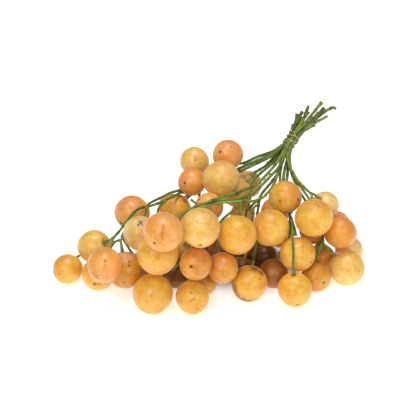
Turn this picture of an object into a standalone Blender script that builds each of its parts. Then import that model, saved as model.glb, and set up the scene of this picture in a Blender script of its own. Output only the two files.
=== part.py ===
"""Burmese grapes: a tied bunch of fruits on their stalks, lying on the ground.

Lengths in the tables are millimetres; MM turns them into metres where objects are made.
"""

import math
from collections import namedtuple

import bmesh
import bpy
import numpy as np
from mathutils import Matrix, Vector

MM = 0.001

# The bunch is laid out as an eye in front of it and above it sees it. A place is given by how far it
# appears to the right of and above the middle of the view, and how much nearer to the eye it lies.
EYE_DISTANCE = 700.0
EYE_ANGLE = math.radians(30)
MIDDLE = np.array([0.0, 0.0, 45.2])
RIGHT = np.array([1.0, 0.0, 0.0])
ABOVE = np.array([0.0, math.sin(EYE_ANGLE), math.cos(EYE_ANGLE)])
NEARER = np.array([0.0, -math.cos(EYE_ANGLE), math.sin(EYE_ANGLE)])
UP = np.array([0.0, 0.0, 1.0])

# Every fruit: right, above, nearer (GROUND: it lies on the ground), diameter.
GROUND = None
FRUITS = {
    1: (-122.0, -52.5, GROUND, 25.5),
    2: (-99.0, -33.5, 12, 29.0),
    3: (-90.0, -49.5, 73, 28.0),
    4: (-95.5, -57.0, GROUND, 27.5),
    5: (-72.0, -54.0, 48, 30.0),
    6: (-66.0, -4.5, 12, 31.0),
    7: (-59.0, -22.0, 48, 28.5),
    8: (-39.0, -21.0, 100, 30.5),
    9: (-43.0, -40.0, 73, 34.0),
    10: (-48.0, -74.5, GROUND, 33.0),
    11: (-13.5, -77.5, GROUND, 28.0),
    12: (-11.0, -48.0, 71, 26.0),
    13: (13.0, -52.0, 58, 25.5),
    14: (-4.5, -63.5, GROUND, 24.0),
    15: (-7.0, -17.5, 78, 31.5),
    16: (25.0, -23.5, 60, 32.0),
    17: (-28.5, -1.5, 3, 28.0),
    18: (-32.0, 1.0, -23, 24.0),
    19: (-14.0, 22.5, 9, 24.5),
    20: (-11.5, 40.5, -14, 26.5),
    21: (17.5, 46.0, 4, 27.0),
    22: (11.5, 25.0, 26, 32.0),
    23: (1.0, 1.0, 38, 24.0),
    24: (35.0, 20.5, -24, 25.0),
    25: (24.5, 14.0, 0, 26.0),
    26: (3.5, -36.5, GROUND, 24.5),
    27: (67.0, 9.5, 30, 28.0),
    28: (58.5, -3.5, -4, 26.0),
    29: (55.0, -17.5, 44, 31.0),
    30: (92.0, -8.5, 50, 31.5),
    31: (102.0, 2.5, 20, 23.5),
    32: (115.0, -21.0, 32, 27.5),
    33: (111.5, -14.0, 2, 22.5),
    34: (122.5, -36.5, 1, 24.5),
    35: (119.5, -51.5, GROUND, 30.5),
    36: (77.5, -40.0, 44, 29.5),
    37: (75.5, -70.5, GROUND, 28.5),
    38: (36.5, -64.5, GROUND, 30.0),
    39: (56.5, -57.5, GROUND, 25.0),
    40: (49.5, -42.5, GROUND, 23.5),
    41: (94.5, -59.0, GROUND, 25.0),
    42: (98.5, -43.0, GROUND, 24.0),
    43: (92.0, -19.0, 6, 24.0),
    44: (62.5, -22.0, GROUND, 25.5),
    45: (-59.0, -51.5, 20, 24.5),
    46: (35.5, -28.5, GROUND, 26.5),
    47: (30.5, -7.0, -14, 22.0),
    48: (-22.0, -32.0, GROUND, 24.5),
    49: (-28.0, -58.5, GROUND, 21.5),
    50: (29.5, -53.0, GROUND, 21.0),
    51: (-7.0, -9.5, GROUND, 28.5),
}
FRUIT_GAP = 0.4
FLAT_DEPTH = 0.35
WAIST = 0.015
STEM_DIMPLE = 0.02

# A stalk: the node it belongs to, its place in the tied bundle (sideways and nearer, in stalk widths),
# the places of its cut end, its course down from the tie and its side stems. A course runs through places
# and through fruits' joints: a joint is a fruit's number, with its place where that is chosen. A side stem
# is a fruit's number, with the places on its way to the joint where they are chosen, or None in place of
# the number where the fruit has come off.
Stalk = namedtuple("Stalk", "node side near top course sprigs")
STALKS = (
    Stalk("stalk_left", -1.33, 0.45, ((78, 82, -8),),
          ((59.5, 47.5, -7), (47, 41, -5), (36.5, 36, -4), (28.5, 32, -3), (17.5, 26.5, -3),
           (4.5, 21, 0), (-5, 17.5, -4), (-14, 16.5, -7), (-22.5, 13.5, 6), (-31.5, 9.5, 24),
           (-37.5, 6.5, 27), (-50.5, 1.5, 29), (7, (-53, 1, 30)), (-59, 1.5, 31), (-62.5, -1.5, 32),
           (-66, -5, 31), (-71.5, -13, 31), (-78.5, -22, 33), (2, (-83.5, -27, 30)), (-82, -29, 15),
           (-85, -31, 2), (-92, -34.5, -7), (-104.5, -38.5, -6), (1, (-113, -42, 7))),
          ((9, (-37.5, 5, 39), (-41, 2.5, 44), (-43.5, -2, 52)),
           (3, (-84, -28.5, 46), (-84.5, -31, 58)))),
    Stalk("stalk_left", -1.29, -0.21, ((82, 84, -6),),
          ((59, 49, -11), (47, 43, -11), (36.5, 39, -10), (29.5, 35.5, -9), (17.5, 29.5, -8),
           (4.5, 23.5, -6), (-5, 20.5, -9), (-14, 19, -10), (-21, 17, -2), (-26, 15, 5), (-33, 13, 9),
           (-42, 8.5, 9), (-51.5, 4, 3), (-56.5, -0.5, -4), (-67, -12, -3), (-72, -18.5, 8),
           (-75, -24.5, 24), (5, (-76, -28, 40)), (-80.5, -28, 38), (-83.5, -33, 32), 4),
          (6, 45)),
    Stalk("stalk_crown", -1.42, -1.21, ((74, 73, -16),),
          ((59, 50.5, -17), (54, 48, -18), (42, 44.5, -20), (30.5, 38.5, -20), (21, (24.5, 38.5, -14)),
           (20, (1.5, 29.5, -24)), (-8.5, 10.5, -28), 51),
          (19, 18, 17)),
    Stalk("stalk_inner", -0.22, -1.41, ((82.5, 79, -18),),
          ((62, 48.5, -17), (55.5, 42, -16), (50, 36.5, -13), (45, 33.5, -9), (25, (41, 30.5, -4))),
          (24,)),
    Stalk("stalk_inner", -0.5, -0.82, ((85.5, 81.5, -16),),
          ((64.5, 48, -14), (55.5, 38.5, -9), (43.5, 28.5, -2), (39, 24.5, 2), (37, 19, 6),
           (37, 8, 14), (35, 1.5, 14), (32.5, -4.5, 10), 46),
          ()),
    Stalk("stalk_middle", -0.62, 1.15, ((87.5, 84, -6),),
          ((65.5, 48.5, -6), (58, 37, -2), (47, 25, 6), (42, 20, 12), (36.5, 17.5, 18), (28, 14.5, 30),
           (17.5, 11.5, 44), (4.5, 6.5, 57), (-1.5, 4, 61), (-8.5, 3, 65), (-15.5, -1, 67),
           (8, (-26, -8, 82))),
          ((23, (2.5, 6.5, 56)), (22, (25, 11.5, 31)), (None, (-12, 5, 66), (-15, 7.5, 65)))),
    Stalk("stalk_middle", -0.24, 1.69, ((90.5, 80, -2),),
          ((67, 46, -4), (62, 35.5, -2), (55, 28.5, 2), (43.5, 16.5, 14), (34, 10, 28),
           (24.5, 7.5, 40), (17.5, 7, 48), (5, 5.5, 56), (-1, 3, 56), (-7, -1.5, 52), (-12, -12, 46),
           (-17.5, -28, 30), (-15.5, -47, 22), 49),
          (12, 48, 26, 14, 10, 11)),
    Stalk("stalk_centre", 0.22, -0.12, ((99, 92, -14),),
          ((66.5, 48.5, -10), (61.5, 33, -4), (59.5, 26, 4), (54, 15, 20), (50.5, 11, 28),
           (45.5, 7.5, 36), (39.5, 6, 43), (34, 5, 48), (16, (29, 6, 53)), (23.5, 5.5, 54),
           (15.5, 5, 57), (7, 4, 60), (0, 1.5, 64), (15, (-4, 0.5, 65))),
          (
           (13, (25, 0.5, 46), (18.5, -5, 42), (11.5, -9.5, 40), (8.5, -17.5, 38), (8.5, -30.5, 44)),)),
    Stalk("stalk_centre", 0.5, -0.72, ((87.5, 89, -8),),
          ((65.5, 42, -13), (60.5, 29.5, -12), (54, 21, -9), (48.5, 15, -5), (44.5, 10, -1),
           (44, 2.5, 2), (43, -4.5, 4), (42, -12, 4), (41, -26, 6), 40, 38),
          ((47, (40.5, 4.5, 0)), (50, (40, 2.5, 8), (39, -3.5, 9), (38.5, -12, 6), (35, -32, 4)))),
    Stalk("stalk_centre", -0.37, 0.18, ((80.5, 77.5, -14),),
          ((64.5, 44.5, -8), (63, 37.5, -6), (62.5, 30.5, -4), (63, 23.5, 0), (61.5, 14, -2), 28, 44),
          ()),
    Stalk("stalk_drop", 1.15, 0.27, ((101, 87, -18),),
          ((69.5, 45, -10), (67, 35, -7), (65.5, 28, -3), (66, 15.5, 4), (69, 2.5, 10), (70.5, -5, 26),
           (73, -9.5, 36), (73, -18.5, 50), (73.5, -28, 60), (74.5, -40, 63), (37, (74, -48.5, 62.5))),
          (27, (36, (75, -15, 40), (75.5, -19, 42)))),
    Stalk("stalk_drop", 1.42, -0.33, ((111.5, 86, -22), (109, 87.5, -22), (103.5, 85, -22)),
          ((70.5, 45, -14), (69.5, 33, -12), (68.5, 23.5, -8), (69.5, 1, 10), (71.5, -7, 22),
           (71.5, -15.5, 28), (71, -26, 28), (66, -38.5, 26), 39),
          (29,)),
    Stalk("stalk_right", 0.35, 0.87, ((104, 80, -12),),
          ((68, 45, -4), (72, 33.5, -5), (75.5, 28, -3), (79, 22.5, 4), (83, 19, 12), (86, 15.5, 22),
           (30, (90, 12.5, 40))),
          ((31, (92, 12, 37), (93, 11.5, 34)),)),
    Stalk("stalk_right", 0.89, 1.24, ((96.5, 83, -10),),
          ((70.5, 44.5, -6), (72.5, 29.5, -6), (75.5, 22.5, -4), (79, 15.5, 0), (82, 10.5, 8),
           (85, 6.5, 12), (90.5, -6, 10), 43),
          ()),
    Stalk("stalk_far_right", 0.75, -1.69, ((92.5, 73, -19),),
          ((70.5, 43.5, -18), (73.5, 29, -15), (77, 23.5, -11), (81, 18, -4), (84.5, 13, 2),
           (88, 8, 5), (93, -1.5, 6), (98.5, -11.5, 14), (100, -21, 24), (100, -26, 26),
           (35, (99.5, -30, 30))),
          (33, 32, 34, (42, (96.5, -31, 28), (94, -32.5, 24)), 41)),
)
STALK_PITCH = 2.75
CUT_RADIUS = 1.4
TIED_RADIUS = 1.18
STALK_RADIUS = 1.3
STALK_END_RADIUS = 0.85
STEM_RADIUS = 0.85
STEM_FOOT_RADIUS = 1.6
STEM_FOOT = 6.5
SKIN_GAP = 0.3
CLEARANCE = 0.7
STALK_GAP = 0.45
BARE_TIP_RADIUS = 1.3

# The tie: windings of one string round the bundle, as (height along it, tilt, turn of the tilt).
TIE_PLACE = (73.0, 59.5, -12)
TIE_LEAN = math.radians(56)
TIE_AWAY = 0.12
TIE_REACH = (6.0, 6.5)
WINDINGS = ((3.4, 2.4, 3.1), (2.0, 0.9, 0.3), (-3.7, 1.1, 2.9), (-2.9, 2.6, 0.0))
STRING_RADIUS = 0.45
STRING_GAP = 0.25

COLOURS = {
    "fruit": ((0.80, 0.46, 0.13, 1.0), 0.5),
    "stalk": ((0.16, 0.27, 0.05, 1.0), 0.6),
    "tie": ((0.62, 0.46, 0.24, 1.0), 0.8),
}


def unit(vector):
    return vector / np.linalg.norm(vector)


def world(right, above, nearer):
    """The place that appears so far to the right of and above the middle, and lies so much nearer."""
    shrink = (EYE_DISTANCE - nearer) / EYE_DISTANCE
    return MIDDLE + (RIGHT * right + ABOVE * above) * shrink + NEARER * nearer


def on_ground(right, above, radius):
    """The same for a ball of this radius that lies on the ground."""
    nearer = 0.0
    for _ in range(30):
        nearer += (radius - world(right, above, nearer)[2]) / 0.6
    return world(right, above, nearer)


def settled_fruits():
    """Centres and radii, eased apart mostly along the line of sight until no two fruits touch."""
    radii = np.array([row[3] / 2 for row in FRUITS.values()])
    grounded = np.array([row[2] is GROUND for row in FRUITS.values()])
    centres = np.array([
        on_ground(right, above, size / 2) if nearer is GROUND else world(right, above, nearer)
        for right, above, nearer, size in FRUITS.values()
    ])
    ease = 0.12 * (np.outer(RIGHT, RIGHT) + np.outer(ABOVE, ABOVE)) + np.outer(NEARER, NEARER)
    lift = ease @ UP / (UP @ ease @ UP)
    first, second = np.triu_indices(len(radii), 1)
    for _ in range(500):
        apart = np.linalg.norm(centres[second] - centres[first], axis=1)
        gaps = apart - radii[first] - radii[second] - FRUIT_GAP
        for pair in np.nonzero(gaps < 0)[0]:
            one, other = first[pair], second[pair]
            push = unit(centres[other] - centres[one])
            one_way = (0.25 if grounded[one] else 1.0) * (ease @ push)
            other_way = (0.25 if grounded[other] else 1.0) * (ease @ push)
            share = -0.6 * gaps[pair] / (push @ (one_way + other_way))
            centres[one] -= share * one_way
            centres[other] += share * other_way
        sunk = radii - centres[:, 2]
        centres += np.outer(np.where(grounded, sunk, np.maximum(sunk, 0)), lift)
    numbers = list(FRUITS)
    return dict(zip(numbers, centres)), dict(zip(numbers, radii))


def even_directions(count):
    """Directions spread evenly over a ball, along a spiral."""
    steps = np.arange(count) + 0.5
    polar = np.arccos(1 - 2 * steps / count)
    turn = math.pi * (1 + math.sqrt(5)) * steps
    return np.stack([np.cos(turn) * np.sin(polar), np.sin(turn) * np.sin(polar), np.cos(polar)], 1)


def free_joint(number, along, centres, radii):
    """A joint for a fruit's stem, on its side towards the stalk, where no other fruit is in the way."""
    centre, radius = centres[number], radii[number]
    others = np.array([centres[other] for other in centres if other != number])
    other_radii = np.array([radii[other] for other in centres if other != number])
    wish = unit(unit(along - centre) + 0.35 * UP)
    best, place = -9.0, None
    for way in even_directions(260):
        for length in (5.0, 8.0, 11.0):
            joint = centre + way * (radius + length)
            line = centre + np.outer(radius + length * np.array([0.06, 0.5, 0.8, 1.0]), way)
            room = np.linalg.norm(line[:, None] - others, axis=2) - other_radii
            score = way @ wish - 0.02 * length
            if joint[2] > 4 and room.min() > 1.8 and room[3].min() > 2.4 and score > best:
                best, place = score, joint
    return place


def rounded_course(places, step=2.4):
    """A smooth line through places, with the index on it of each place."""
    padded = [2 * places[0] - places[1], *places, 2 * places[-1] - places[-2]]
    line, marks = [], []
    for before, start, end, after in zip(padded, padded[1:], padded[2:], padded[3:]):
        length = np.linalg.norm(end - start)
        leave = (unit(start - before) + unit(end - start)) * length / 2
        arrive = (unit(end - start) + unit(after - end)) * length / 2
        marks.append(len(line))
        count = max(1, round(length / step))
        for share in np.arange(count) / count:
            square, cube = share ** 2, share ** 3
            line.append((2 * cube - 3 * square + 1) * start + (cube - 2 * square + share) * leave
                        + (3 * square - 2 * cube) * end + (cube - square) * arrive)
    marks.append(len(line))
    line.append(places[-1])
    return np.array(line), marks


def eased_lines(lines, loose, nodes, centres, radii, rounds=170):
    """The lines, smoothed and pushed out of the fruits and off each other. Fixed points stay."""
    owner = np.concatenate([np.full(len(line), number) for number, line in enumerate(lines)])
    points = np.concatenate(lines)
    home = points.copy()
    free = np.concatenate(loose)
    family = np.array([nodes.index(node) for node in nodes])[owner]
    apart = np.where(family[:, None] == family[None], 1.4 * STALK_RADIUS, 2 * STALK_RADIUS + STALK_GAP)
    apart[owner[:, None] == owner[None]] = 0
    for turn in range(rounds):
        middle = points.copy()
        middle[1:-1] = (points[:-2] + points[2:]) / 2
        points[free] += (0.4 * (middle - points) + 0.08 * (home - points))[free]
        if turn % 2 == 0:
            squares = (points ** 2).sum(1)
            distance = np.sqrt(np.maximum(squares[:, None] + squares - 2 * points @ points.T, 0.0001))
            one, other = np.nonzero(distance < apart)
            push = 0.5 * (apart[one, other] / distance[one, other] - 1)
            moved = np.zeros(points.shape)
            np.add.at(moved, one, (points[one] - points[other]) * push[:, None])
            points[free] += moved[free]
        for number, centre in centres.items():
            offset = points - centre
            distance = np.linalg.norm(offset, axis=1)
            reach = radii[number] + STALK_RADIUS + CLEARANCE
            inside = free & (distance < reach)
            points[inside] = centre + offset[inside] * (reach / distance[inside])[:, None]
        low = free & (points[:, 2] < 2 * STALK_RADIUS)
        points[low, 2] = 2 * STALK_RADIUS
    return [points[owner == number] for number in range(len(lines))]


def bundle_axes():
    """The middle of the tie, the bundle's direction towards the cut ends, and its two cross directions."""
    along = unit(RIGHT * math.cos(TIE_LEAN) + ABOVE * math.sin(TIE_LEAN) - NEARER * TIE_AWAY)
    side = unit(np.cross(NEARER, along)) * -1
    near = unit(np.cross(side, along))
    return world(*TIE_PLACE), along, side, near


def winding(height, tilt, turn, count, along, side, near):
    """A string's middle line, taut round the bundle from its right side on, on a slant."""
    slots = np.array([(stalk.side, stalk.near) for stalk in STALKS]) * STALK_PITCH
    angles = np.linspace(0, 2 * math.pi, count, endpoint=False)
    ways = np.stack([np.cos(angles), np.sin(angles)], 1)
    places = slots[(ways @ slots.T).argmax(1)] + ways * (TIED_RADIUS + STRING_GAP + STRING_RADIUS)
    lifts = height + tilt * np.cos(angles - turn)
    return np.outer(places[:, 0], side) + np.outer(places[:, 1], near) + np.outer(lifts, along)


def laid_stalks(centres, radii):
    """Every line of the stalks as (node, points, radii of the points), from the tie down to the fruits."""
    tie, along, side, near = bundle_axes()
    courses, loose, joints, tied = [], [], [], []
    for stalk in STALKS:
        slot = tie + (side * stalk.side + near * stalk.near) * STALK_PITCH
        places = [world(*place) for place in stalk.top]
        upper = len(places)
        places += [slot + along * TIE_REACH[0], slot, slot - along * TIE_REACH[1]]
        fixed = [True] * len(places)
        hung = {}
        for stop in stalk.course:
            if isinstance(stop, int):
                hung[stop] = free_joint(stop, places[-1], centres, radii)
                places.append(hung[stop])
            elif len(stop) == 2:
                hung[stop[0]] = world(*stop[1])
                places.append(hung[stop[0]])
            else:
                places.append(world(*stop))
            fixed.append(isinstance(stop, int) or len(stop) == 2)
        line, marks = rounded_course(places)
        first, last = marks[upper], marks[upper + 2]
        line[first:last + 1] = np.linspace(places[upper], places[upper + 2], last - first + 1)
        free = np.ones(len(line), bool)
        free[[mark for mark, held in zip(marks, fixed) if held]] = False
        free[first:last + 1] = False
        courses.append(line)
        loose.append(free)
        joints.append(hung)
        tied.append((first, last))
    nodes = [stalk.node for stalk in STALKS]
    courses = eased_lines(courses, loose, nodes, centres, radii)

    sprigs, sprig_loose, sprig_nodes, goals = [], [], [], []
    for number, stalk in enumerate(STALKS):
        below = courses[number][tied[number][1] + 1:]
        for sprig in stalk.sprigs:
            if isinstance(sprig, int):
                goal = sprig
                close = below[np.linalg.norm(below - centres[goal], axis=1).argmin()]
                joint = free_joint(goal, close, centres, radii)
                branch = max(np.linalg.norm(below - joint, axis=1).argmin() - 1, 0)
                way = [below[branch], (below[branch] + joint) / 2, joint]
            else:
                goal = sprig[0]
                way = [world(*place) for place in sprig[1:]]
                branch = max(np.linalg.norm(below - way[0], axis=1).argmin() - 1, 0)
                way = [below[branch], *way]
            line, _ = rounded_course(way)
            free = np.ones(len(line), bool)
            free[[0, -1]] = False
            sprigs.append(line)
            sprig_loose.append(free)
            sprig_nodes.append(stalk.node)
            goals.append(goal)
    held = [np.zeros(len(line), bool) for line in courses]
    eased = eased_lines(courses + sprigs, held + sprig_loose, nodes + sprig_nodes, centres, radii)
    sprigs = eased[len(courses):]

    lines = []
    for number, stalk in enumerate(STALKS):
        course = courses[number]
        first, last = tied[number]
        stations = [0, first, last, min(last + 8, len(course) - 2), len(course) - 1]
        width = np.interp(np.arange(len(course)), stations,
                          [CUT_RADIUS, TIED_RADIUS, TIED_RADIUS, STALK_RADIUS, STALK_END_RADIUS])
        lines.append((stalk.node, course, width))
        for fruit, joint in joints[number].items():
            lines.append((stalk.node, *foot(joint[None], fruit, centres, radii)))
    for line, node, goal in zip(sprigs, sprig_nodes, goals):
        if goal is None:
            lines.append((node, line, np.array([STEM_RADIUS] * (len(line) - 1) + [BARE_TIP_RADIUS])))
        else:
            lines.append((node, *foot(line, goal, centres, radii)))
    return lines


def foot(line, fruit, centres, radii):
    """A stem's line carried on to its fruit, with a thick foot just clear of the skin."""
    way = unit(line[-1] - centres[fruit])
    skin = radii[fruit] * (1 - STEM_DIMPLE) + SKIN_GAP
    length = np.linalg.norm(line[-1] - centres[fruit]) - skin
    start = min(STEM_FOOT, 0.8 * length)
    end = centres[fruit] + np.outer([skin + start, skin + 0.6 * start, skin], way)
    width = [STEM_RADIUS] * len(line) + [STEM_RADIUS, 0.8 * STEM_FOOT_RADIUS, STEM_FOOT_RADIUS]
    return np.vstack([line, end]), np.array(width)


def thinned(line, tolerance=0.3):
    """The indices of the points that a line needs to keep its shape."""
    keep, spans = {0, len(line) - 1}, [(0, len(line) - 1)]
    while spans:
        start, end = spans.pop()
        if end - start < 2:
            continue
        chord = unit(line[end] - line[start])
        offset = line[start + 1:end] - line[start]
        away = np.linalg.norm(offset - np.outer(offset @ chord, chord), axis=1)
        if away.max() > tolerance:
            worst = start + 1 + int(away.argmax())
            keep.add(worst)
            spans += [(start, worst), (worst, end)]
    return sorted(keep)


def material(kind):
    colour, roughness = COLOURS[kind]
    made = bpy.data.materials.new(kind)
    made.use_nodes = True
    shader = made.node_tree.nodes["Principled BSDF"]
    shader.inputs["Base Color"].default_value = colour
    shader.inputs["Roughness"].default_value = roughness
    shader.inputs["Metallic"].default_value = 0.0
    made.diffuse_color = colour
    return made


def add_object(name, mesh, collection, place, kind):
    mesh.materials.clear()
    mesh.materials.append(kind)
    mesh.shade_smooth()
    made = bpy.data.objects.new(name, mesh)
    made.location = Vector(place) * MM
    collection.objects.link(made)
    return made


def skin_factor(direction, stem):
    """How far out a fruit's skin lies, as a share of its radius: a slight waist and a dimple at the stem."""
    facing = direction.dot(stem)
    return 1 - WAIST * (1 - facing ** 2) - STEM_DIMPLE * math.exp(-(1 - facing) / 0.03)


def fruit_mesh(name, radius, stem, grounded):
    mesh = bpy.data.meshes.new(name)
    shape = bmesh.new()
    bmesh.ops.create_uvsphere(shape, u_segments=12, v_segments=8, radius=radius * MM)
    for point in shape.verts:
        direction = point.co.normalized()
        if not (grounded and direction.z < -0.999):
            point.co *= skin_factor(direction, stem)
    if grounded:
        faces = shape.verts[:] + shape.edges[:] + shape.faces[:]
        flat = Vector((0, 0, (FLAT_DEPTH - radius) * MM))
        cut = bmesh.ops.bisect_plane(shape, geom=faces, plane_co=flat, plane_no=(0, 0, -1), clear_outer=True)
        rim = [item for item in cut["geom_cut"] if isinstance(item, bmesh.types.BMEdge)]
        bmesh.ops.edgeloop_fill(shape, edges=rim)
    bmesh.ops.recalc_face_normals(shape, faces=shape.faces)
    shape.to_mesh(mesh)
    shape.free()
    return mesh


def tube(name, line, widths, origin, collection, closed=False):
    """A round tube as a closed mesh object, from a curve through the line's points."""
    curve = bpy.data.curves.new(name, "CURVE")
    curve.dimensions = "3D"
    curve.bevel_depth = MM
    curve.bevel_resolution = 1
    curve.use_fill_caps = not closed
    spline = curve.splines.new("POLY")
    spline.points.add(len(line) - 1)
    for point, place, width in zip(spline.points, line, widths):
        point.co = (*((place - origin) * MM), 1)
        point.radius = width
    spline.use_cyclic_u = closed
    guide = bpy.data.objects.new(name, curve)
    collection.objects.link(guide)
    bpy.context.view_layer.update()
    evaluated = guide.evaluated_get(bpy.context.evaluated_depsgraph_get())
    mesh = bpy.data.meshes.new_from_object(evaluated)
    shape = bmesh.new()
    shape.from_mesh(mesh)
    bmesh.ops.remove_doubles(shape, verts=shape.verts, dist=0.00001)
    bmesh.ops.recalc_face_normals(shape, faces=shape.faces)
    shape.to_mesh(mesh)
    shape.free()
    bpy.data.objects.remove(guide)
    made = bpy.data.objects.new(name, mesh)
    collection.objects.link(made)
    return made


def joined(name, tubes, helpers):
    """One closed mesh from overlapping tubes, which are removed."""
    base, others = tubes[0], tubes[1:]
    group = bpy.data.collections.new(name + "_tubes")
    helpers.children.link(group)
    for other in others:
        helpers.objects.unlink(other)
        group.objects.link(other)
    union = base.modifiers.new("join", "BOOLEAN")
    union.operation = "UNION"
    union.operand_type = "COLLECTION"
    union.collection = group
    union.solver = "EXACT"
    bpy.context.view_layer.update()
    evaluated = base.evaluated_get(bpy.context.evaluated_depsgraph_get())
    mesh = bpy.data.meshes.new_from_object(evaluated)
    mesh.name = name
    for made in tubes:
        bpy.data.objects.remove(made)
    bpy.data.collections.remove(group)
    return mesh


def add_fruits(centres, radii, stems, collection, kind):
    for number, centre in centres.items():
        grounded = FRUITS[number][2] is GROUND
        place = centre - UP * FLAT_DEPTH if grounded else centre
        mesh = fruit_mesh(f"fruit_{number:02d}", radii[number], Vector(stems[number]), grounded)
        add_object(f"fruit_{number:02d}", mesh, collection, place, kind)


def add_stalks(lines, collection, helpers, kind):
    origin = world(*TIE_PLACE)
    for node in dict.fromkeys(stalk.node for stalk in STALKS):
        tubes = []
        for name, line, widths in lines:
            if name == node:
                keep = thinned(line)
                tubes.append(tube(node, line[keep], widths[keep], origin, helpers))
        add_object(node, joined(node, tubes, helpers), collection, origin, kind)


def add_tie(collection, helpers, kind):
    """Four slanted windings that cross each other, with a knot at the back and two short ends."""
    tie, along, side, near = bundle_axes()
    tubes = []
    for height, tilt, turn in WINDINGS:
        loop = winding(height, tilt, turn, 24, along, side, near)
        tubes.append(tube("winding", loop, [STRING_RADIUS] * 24, 0 * tie, helpers, closed=True))
    knot = winding(0, 0, 0, 4, along, side, near)[3] - near * 0.4
    ends = ((-side * 3.5 - along * 5.5 - near, 1.0), (side * 3.0 - along * 7.0 - near, 1.0))
    for end, thick in ends:
        tail = np.array([knot + along * 1.6, knot - near * 0.5, knot + end * 0.5, knot + end])
        widths = [2 * STRING_RADIUS, 2 * STRING_RADIUS, STRING_RADIUS * thick, STRING_RADIUS * thick]
        tubes.append(tube("tail", tail, widths, 0 * tie, helpers))
    add_object("tie", joined("tie", tubes, helpers), collection, tie, kind)


def stand_on_origin(collection):
    """Moves everything sideways, so that the middle of the bunch's outline is over the origin."""
    bpy.context.view_layer.update()
    corners = np.array([made.matrix_world @ point.co for made in collection.objects for point in made.data.vertices])
    middle = (corners.min(axis=0) + corners.max(axis=0)) / 2
    for made in collection.objects:
        made.location -= Vector((middle[0], middle[1], 0))


def main():
    for made in list(bpy.data.objects):
        bpy.data.objects.remove(made)
    bunch = bpy.data.collections.new("burmese_grape_bunch")
    helpers = bpy.data.collections.new("helpers")
    bpy.context.scene.collection.children.link(bunch)
    bpy.context.scene.collection.children.link(helpers)
    kinds = {kind: material(kind) for kind in COLOURS}

    centres, radii = settled_fruits()
    lines = laid_stalks(centres, radii)
    ends = np.array([line[-1] for _, line, _ in lines])
    stems = {number: unit(ends[np.linalg.norm(ends - centre, axis=1).argmin()] - centre)
             for number, centre in centres.items()}
    add_fruits(centres, radii, stems, bunch, kinds["fruit"])
    add_stalks(lines, bunch, helpers, kinds["stalk"])
    add_tie(bunch, helpers, kinds["tie"])
    stand_on_origin(bunch)


main()
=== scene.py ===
"""A tied bunch of Burmese grapes: the looks of its fruits, stalks and tie, fitted to the solid model.

Lengths are millimetres, turned into metres by MM. Fruits and stalks are laid out as in the solids.
"""

import math
import random
from collections import namedtuple

import bmesh
import bpy
import numpy as np
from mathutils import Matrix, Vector, kdtree, noise

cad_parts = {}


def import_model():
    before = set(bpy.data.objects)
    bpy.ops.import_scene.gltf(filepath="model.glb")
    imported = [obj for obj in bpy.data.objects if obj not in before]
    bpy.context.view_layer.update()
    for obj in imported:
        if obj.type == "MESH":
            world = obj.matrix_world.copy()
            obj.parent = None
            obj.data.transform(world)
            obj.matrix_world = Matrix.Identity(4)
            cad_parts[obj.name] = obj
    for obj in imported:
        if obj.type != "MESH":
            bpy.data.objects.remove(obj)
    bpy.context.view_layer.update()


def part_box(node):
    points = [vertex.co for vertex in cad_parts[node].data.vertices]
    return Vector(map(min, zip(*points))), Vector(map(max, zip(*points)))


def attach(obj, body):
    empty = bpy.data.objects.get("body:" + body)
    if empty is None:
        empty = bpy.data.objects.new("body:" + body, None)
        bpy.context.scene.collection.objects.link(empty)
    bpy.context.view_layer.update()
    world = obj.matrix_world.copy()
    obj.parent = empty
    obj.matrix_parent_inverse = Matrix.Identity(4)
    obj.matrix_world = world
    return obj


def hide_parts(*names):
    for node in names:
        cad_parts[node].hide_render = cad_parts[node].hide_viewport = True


MM = 0.001
TINY = 1e-6

# The bunch is laid out as an eye in front of it and above it sees it. A place is given by how far it
# appears to the right of and above the middle of the view, and how much nearer to the eye it lies.
EYE_DISTANCE = 700.0
EYE_ANGLE = math.radians(30)
MIDDLE = np.array([0.0, 0.0, 45.2])
RIGHT = np.array([1.0, 0.0, 0.0])
ABOVE = np.array([0.0, math.sin(EYE_ANGLE), math.cos(EYE_ANGLE)])
NEARER = np.array([0.0, -math.cos(EYE_ANGLE), math.sin(EYE_ANGLE)])
UP = np.array([0.0, 0.0, 1.0])

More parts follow.
